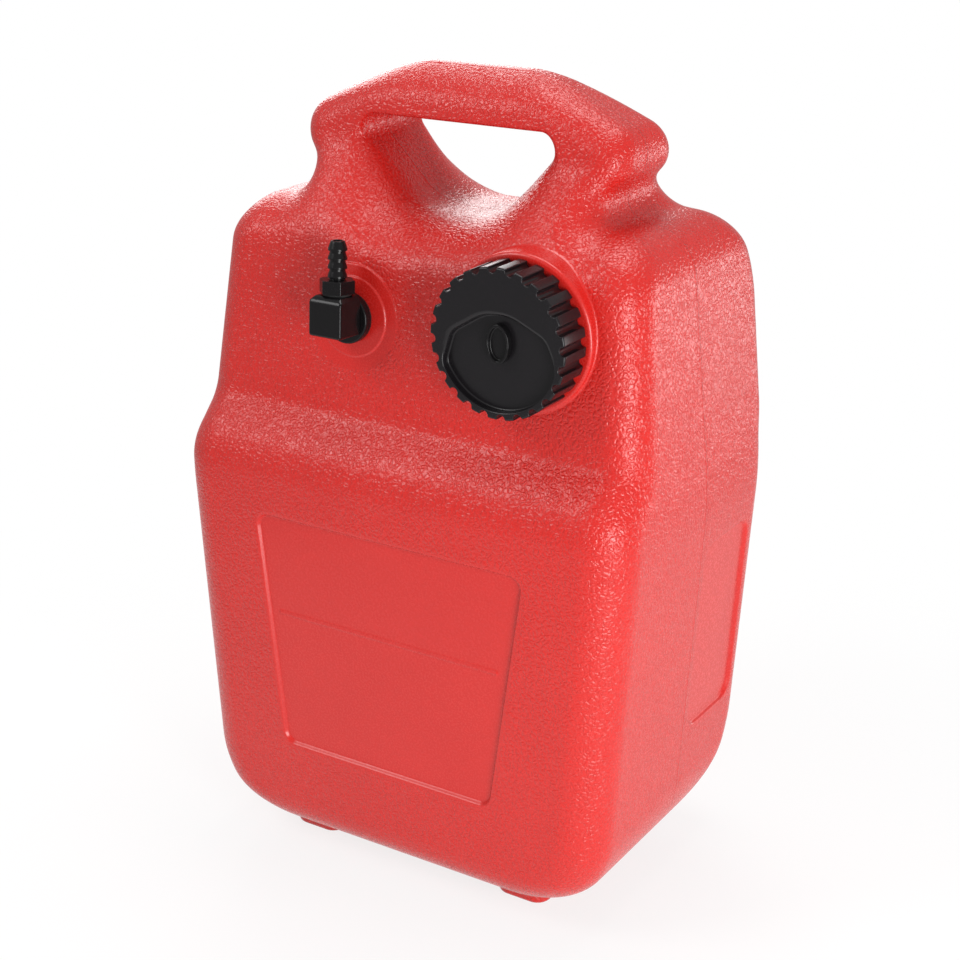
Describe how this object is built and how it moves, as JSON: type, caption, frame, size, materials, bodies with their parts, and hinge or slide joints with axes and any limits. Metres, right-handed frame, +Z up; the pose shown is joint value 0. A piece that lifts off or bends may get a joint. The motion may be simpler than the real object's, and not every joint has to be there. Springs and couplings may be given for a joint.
{
  "type": "outboard fuel tank",
  "caption": "Portable moulded plastic fuel tank with a carry handle, a vented screw cap with a deep knurled rim, and a swivelling outlet elbow with a hose barb.",
  "frame": {"origin": "on the floor under the middle of the tank's outline", "axes": "+X to the right of the tank as its front is seen, the filler cap's side; the front face looks to -Y; +Z up"},
  "size_m": [0.2646, 0.1666, 0.4164],
  "materials": {
    "tank_red": "moulded leather grain, satin",
    "cap_black": "satin",
    "fitting_black": "satin",
    "inner_plastic": "natural",
    "seal_rubber": "matt",
    "hose_rubber": "matt",
    "steel": "plain"
  },
  "bodies": {
    "tank": {"tank_body": "tank_red", "plug_gasket": "seal_rubber", "outlet_plug": "fitting_black", "pickup_tail": "inner_plastic", "dip_tube": "hose_rubber", "dip_tube_clamp": "steel", "strainer_body": "inner_plastic", "strainer_mesh": "steel"},
    "gasket": {"cap_gasket": "seal_rubber"},
    "cap": {"filler_cap": "cap_black", "splash_baffle": "inner_plastic"},
    "vent_seal": {"vent_o_ring": "seal_rubber"},
    "vent": {"vent_knob": "fitting_black", "vent_seal_washer": "seal_rubber", "vent_retaining_ring": "steel"},
    "elbow": {"elbow_body": "fitting_black", "elbow_o_ring": "seal_rubber", "elbow_retaining_ring": "steel", "barb_washer": "seal_rubber", "hose_barb": "fitting_black"}
  },
  "joints": [
    {"name": "cap_rise", "type": "slide", "parent": "tank", "child": "gasket", "axis": [0, -1, 0], "range_m": [0, 0.0075]},
    {"name": "cap_turn", "type": "hinge", "parent": "gasket", "child": "cap", "pos_m": [0.064, -0.07054, 0.3056], "axis": [0, -1, 0], "range_deg": [0, 540]},
    {"name": "vent_rise", "type": "slide", "parent": "cap", "child": "vent_seal", "axis": [0, -1, 0], "range_m": [0, 0.0012]},
    {"name": "vent_turn", "type": "hinge", "parent": "vent_seal", "child": "vent", "pos_m": [0.064, -0.06854, 0.3056], "axis": [0, -1, 0], "range_deg": [0, 288.01]},
    {"name": "elbow_swivel", "type": "hinge", "parent": "tank", "child": "elbow", "pos_m": [-0.0345, -0.05654, 0.2986], "axis": [0, -0.9976, 0.0698], "continuous": true}
  ],
  "couplings": [
    {"joint": "cap_rise", "follows": "cap_turn", "m_per_rad": 0.00079577},
    {"joint": "vent_turn", "follows": "vent_rise", "rad_per_m": 4188.8}
  ]
}
